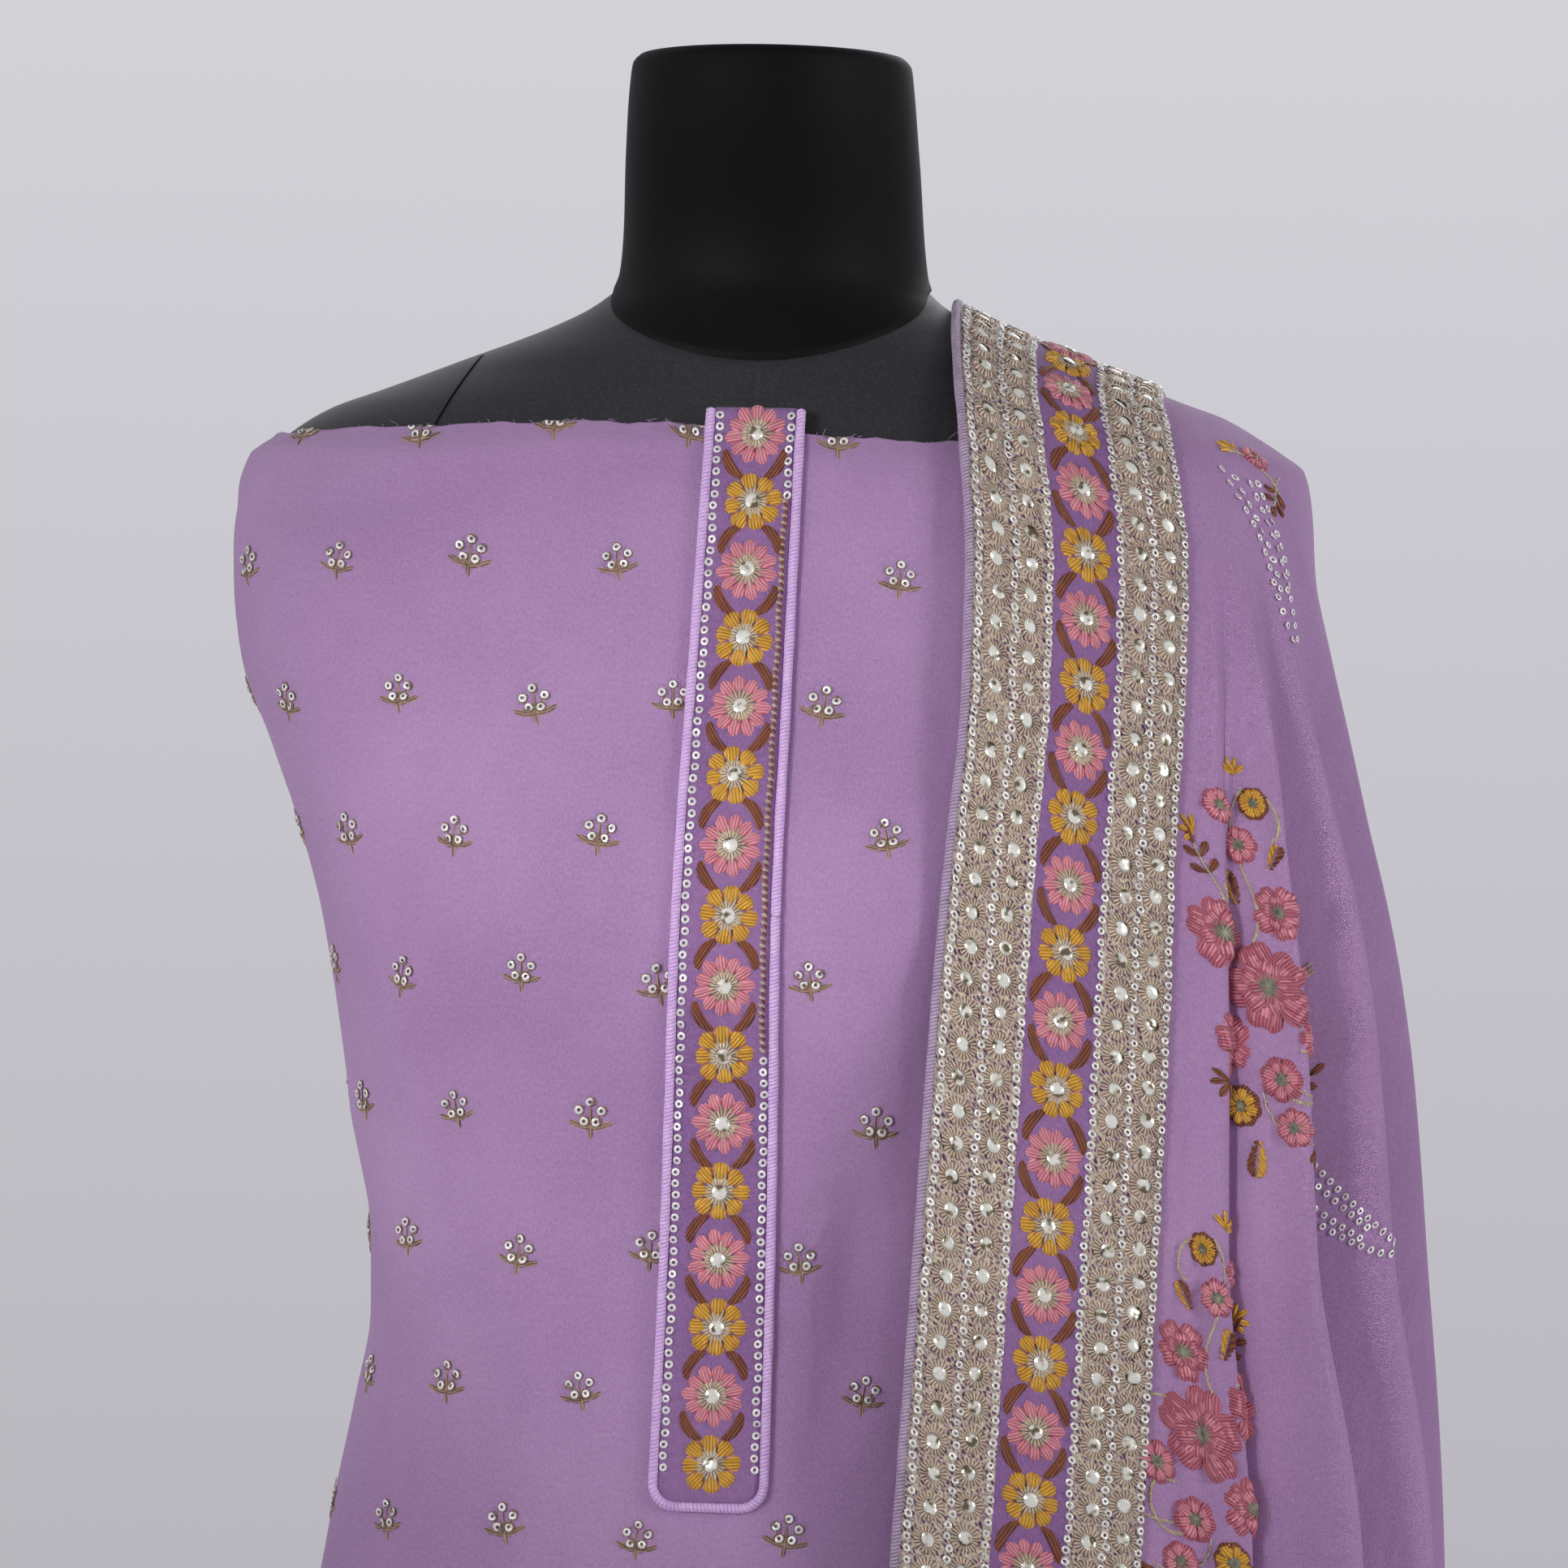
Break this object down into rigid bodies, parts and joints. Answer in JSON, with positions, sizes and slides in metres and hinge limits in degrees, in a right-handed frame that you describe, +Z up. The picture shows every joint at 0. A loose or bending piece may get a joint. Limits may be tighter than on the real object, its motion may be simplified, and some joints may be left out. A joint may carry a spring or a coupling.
{
  "type": "salwar kameez suit on a dress form",
  "caption": "Lavender salwar kameez suit with embroidered neck placket and bordered dupatta, draped on a limbless black dress form on a round stand.",
  "frame": {"origin": "on the floor at the middle of the stand's base, under its pole", "axes": "+Z up the pole; the front of the suit faces -Y; the dupatta hangs over the shoulder at +X"},
  "size_m": [0.4774, 0.38, 1.489],
  "materials": {
    "form_cover": "matt black stretch jersey",
    "stand_steel": "satin black",
    "kameez_georgette": "soft crepe weave",
    "dupatta_georgette": "soft crepe weave, fine and supple",
    "salwar_cloth": "plain matt weave",
    "piping": "ribbed silky piping",
    "embroidery": "dense thread, sequin and mirror work"
  },
  "bodies": {
    "root": {"dress_form": "form_cover", "stand_pole": "stand_steel", "stand_base": "stand_steel", "kameez_cloth": "kameez_georgette", "placket_strip": "embroidery", "placket_piping": "piping", "dupatta_cloth": "dupatta_georgette", "dupatta_border": "embroidery", "dupatta_piping": "piping", "salwar_belt": "salwar_cloth", "salwar_leg_left": "salwar_cloth", "salwar_leg_right": "salwar_cloth", "salwar_cuff_left": "salwar_cloth", "salwar_cuff_right": "salwar_cloth"}
  },
  "joints": []
}
